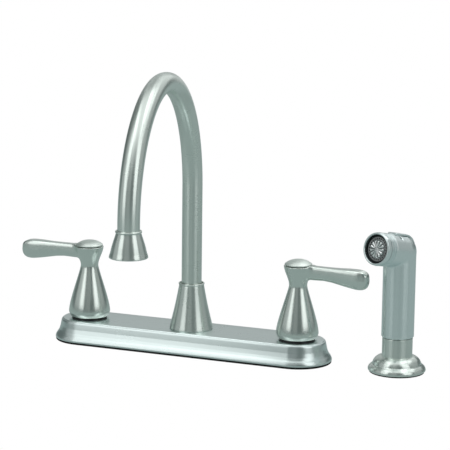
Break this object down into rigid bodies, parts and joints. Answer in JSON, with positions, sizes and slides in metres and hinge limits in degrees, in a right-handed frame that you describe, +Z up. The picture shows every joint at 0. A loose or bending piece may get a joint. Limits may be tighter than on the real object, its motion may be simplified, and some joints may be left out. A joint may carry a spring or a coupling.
{
  "type": "kitchen faucet with side spray",
  "caption": "Two-handle kitchen faucet in brushed nickel with a swivelling gooseneck spout on a long deck plate, two lever handles, and a separate hand spray standing in its own deck holder.",
  "frame": {"origin": "where the spout's swivel axis meets the deck, on the underside of the deck plate's gasket", "axes": "+Z up out of the deck, +X along the deck plate from the hot handle to the cold handle and the hand spray, -Y towards the sink and the user"},
  "size_m": [0.3861, 0.2504, 0.3107],
  "materials": {
    "brushed_nickel": "satin, brushed",
    "chrome": "polished",
    "brass": "machined",
    "copper": "drawn copper tube",
    "steel": "machined",
    "black_rubber": "matt",
    "black_plastic": "matt",
    "pale_plastic": "moulded",
    "ceramic": "lapped"
  },
  "bodies": {
    "deck_set": {"deck_plate": "brushed_nickel", "deck_gasket": "black_rubber", "spout_hub": "brass", "diverter_body": "brass", "spout_cone": "brushed_nickel", "lower_glide_ring": "pale_plastic", "upper_glide_ring": "pale_plastic", "hot_valve_body": "brass", "hot_waterway": "copper", "hot_cartridge": "pale_plastic", "hot_fixed_disc": "ceramic", "hot_bonnet_nut": "brass", "hot_base_ring": "black_plastic", "hot_mounting_washer": "steel", "hot_mounting_nut": "brass", "cold_valve_body": "brass", "cold_waterway": "copper", "cold_cartridge": "pale_plastic", "cold_fixed_disc": "ceramic", "cold_bonnet_nut": "brass", "cold_base_ring": "black_plastic", "cold_mounting_washer": "steel", "cold_mounting_nut": "brass", "spray_holder": "brushed_nickel", "spray_holder_gasket": "black_rubber", "spray_holder_liner": "pale_plastic", "spray_holder_washer": "steel", "spray_holder_nut": "brass"},
    "diverter": {"diverter_piston": "pale_plastic"},
    "spout": {"spout_tube": "brushed_nickel", "lower_seal_ring": "black_rubber", "upper_seal_ring": "black_rubber", "outlet_bell": "brushed_nickel", "aerator_housing": "chrome", "aerator_screen": "steel", "aerator_washer": "black_rubber"},
    "hot_handle_set": {"hot_turning_disc": "ceramic", "hot_stem": "brass", "hot_handle": "brushed_nickel", "hot_handle_cap": "brushed_nickel", "hot_handle_screw": "steel"},
    "cold_handle_set": {"cold_turning_disc": "ceramic", "cold_stem": "brass", "cold_handle": "brushed_nickel", "cold_handle_cap": "brushed_nickel", "cold_handle_screw": "steel"},
    "hose_end": {"hose_coupling": "brass", "coupling_seal": "black_rubber"},
    "hand_spray": {"coupling_clip": "steel", "sprayer_body": "brushed_nickel", "nose_ring": "brushed_nickel", "spray_face": "chrome", "face_screw": "chrome", "lever_pin": "steel", "valve_guide": "brass", "valve_seat": "black_rubber", "plunger_spring": "steel"},
    "lever": {"spray_lever": "brushed_nickel"},
    "spray_valve": {"plunger": "brass"}
  },
  "joints": [
    {"name": "diverter_slide", "type": "slide", "parent": "deck_set", "child": "diverter", "axis": [0, 0, 1], "range_m": [0, 0.003]},
    {"name": "spout_swivel", "type": "hinge", "parent": "deck_set", "child": "spout", "pos_m": [0, 0, 0.06], "axis": [0, 0, 1], "range_deg": [-69, 51]},
    {"name": "hot_handle_turn", "type": "hinge", "parent": "deck_set", "child": "hot_handle_set", "pos_m": [-0.1016, 0, 0.05], "axis": [0, 0, 1], "range_deg": [0, 90]},
    {"name": "cold_handle_turn", "type": "hinge", "parent": "deck_set", "child": "cold_handle_set", "pos_m": [0.1016, 0, 0.05], "axis": [0, 0, -1], "range_deg": [0, 90]},
    {"name": "hose_pull", "type": "slide", "parent": "deck_set", "child": "hose_end", "axis": [0, 0, 1], "range_m": [0, 0.15]},
    {"name": "hand_spray_swivel", "type": "hinge", "parent": "hose_end", "child": "hand_spray", "pos_m": [0.193, 0.0025, 0.02], "axis": [0, 0, 1], "continuous": true},
    {"name": "lever_pivot", "type": "hinge", "parent": "hand_spray", "child": "lever", "pos_m": [0.18968, -0.00548, 0.11959], "axis": [-0.9232, 0.3843, 0], "range_deg": [0, 5.5], "stiffness_Nm_per_rad": 2, "springref_deg": -4.58},
    {"name": "valve_slide", "type": "slide", "parent": "hand_spray", "child": "spray_valve", "axis": [-0.3843, -0.9232, 0], "range_m": [0, 0.0024], "deforming": ["plunger_spring"]}
  ],
  "couplings": [
    {"joint": "valve_slide", "follows": "lever_pivot", "m_per_rad": 0.0246}
  ]
}
